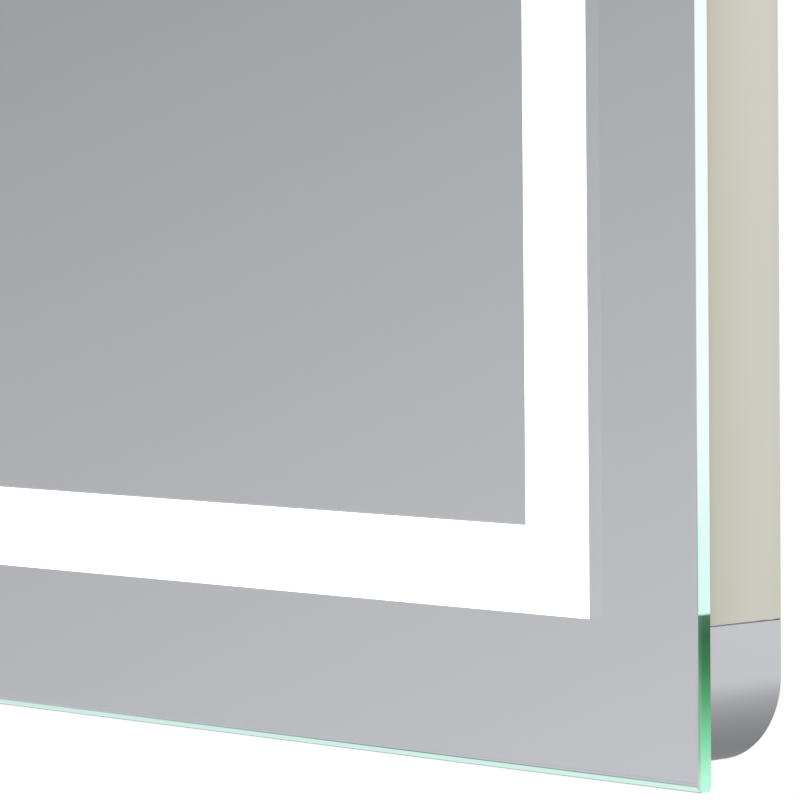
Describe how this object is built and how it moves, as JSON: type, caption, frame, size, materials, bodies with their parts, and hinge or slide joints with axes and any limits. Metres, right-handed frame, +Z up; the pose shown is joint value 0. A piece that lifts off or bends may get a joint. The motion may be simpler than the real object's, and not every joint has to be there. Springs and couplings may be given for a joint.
{
  "type": "lighted bathroom mirror",
  "caption": "Upright rectangular wall mirror with a lit frosted band inside its edge, on a shallow housing with rounded corner pieces, hung from a wall rail.",
  "frame": {"origin": "on the wall's face, midway between the two screw holes of the wall rail", "axes": "+X to the viewer's right, +Y into the wall, +Z up; the mirror looks towards -Y"},
  "size_m": [0.6, 0.0385, 0.8],
  "materials": {
    "mirror_glass": "clear float glass with ground and polished edges",
    "backing": "silver coat under grey back paint and film",
    "cream_coat": "cream powder coat, satin",
    "silver_moulding": "silver-grey moulded plastic, satin",
    "foam_tape": "white foam tape",
    "channel_white": "white extruded plastic",
    "diffuser_opal": "opal sheet",
    "board_white": "white solder mask",
    "chip_yellow": "yellow phosphor in a white frame",
    "galvanised": "galvanised sheet",
    "zinc_screw": "bright zinc",
    "rivet_aluminium": "plain aluminium",
    "bumper_rubber": "black rubber",
    "driver_plastic": "white moulded plastic",
    "circuit_green": "green solder mask",
    "box_plastic": "black moulded plastic",
    "terminal_plastic": "ivory moulded plastic",
    "terminal_brass": "plain brass",
    "grommet_rubber": "black rubber",
    "mains_sheath": "black sheath",
    "led_sheath": "white sheath",
    "clip_plastic": "natural moulded plastic"
  },
  "bodies": {
    "wall_mount": {"wall_rail": "galvanised"},
    "mirror": {"mirror_glass": "mirror_glass", "silver_backing": "backing", "profile_right": "cream_coat", "profile_left": "cream_coat", "profile_bottom": "cream_coat", "profile_top": "cream_coat", "corner_bottom_right": "silver_moulding", "corner_bottom_left": "silver_moulding", "corner_top_right": "silver_moulding", "corner_top_left": "silver_moulding", "frame_tape": "foam_tape", "light_channel_right": "channel_white", "light_channel_left": "channel_white", "light_channel_bottom": "channel_white", "light_channel_top": "channel_white", "channel_tape": "foam_tape", "diffuser_right": "diffuser_opal", "diffuser_left": "diffuser_opal", "diffuser_bottom": "diffuser_opal", "diffuser_top": "diffuser_opal", "led_board_right": "board_white", "led_board_left": "board_white", "led_board_bottom": "board_white", "led_board_top": "board_white", "led_chips": "chip_yellow", "back_plate": "galvanised", "back_plate_screws": "zinc_screw", "hanger_rail": "galvanised", "hanger_rivets": "rivet_aluminium", "wall_bumpers": "bumper_rubber", "driver_case": "driver_plastic", "driver_lid": "driver_plastic", "driver_board": "circuit_green", "driver_screws": "zinc_screw", "junction_box": "box_plastic", "junction_box_screws": "zinc_screw", "junction_lid": "box_plastic", "junction_lid_screws": "zinc_screw", "terminal_block": "terminal_plastic", "terminal_screws": "terminal_brass", "cable_grommet": "grommet_rubber", "lead_grommet": "grommet_rubber", "cord_clamp": "box_plastic", "cord_clamp_screws": "zinc_screw", "earth_screw": "zinc_screw", "mains_lead": "mains_sheath", "led_lead": "led_sheath", "corner_jumpers": "led_sheath", "wire_clips": "clip_plastic"}
  },
  "joints": [
    {"name": "lift_off", "type": "slide", "parent": "wall_mount", "child": "mirror", "axis": [0, 0, 1], "range_m": [0, 0.012]}
  ]
}
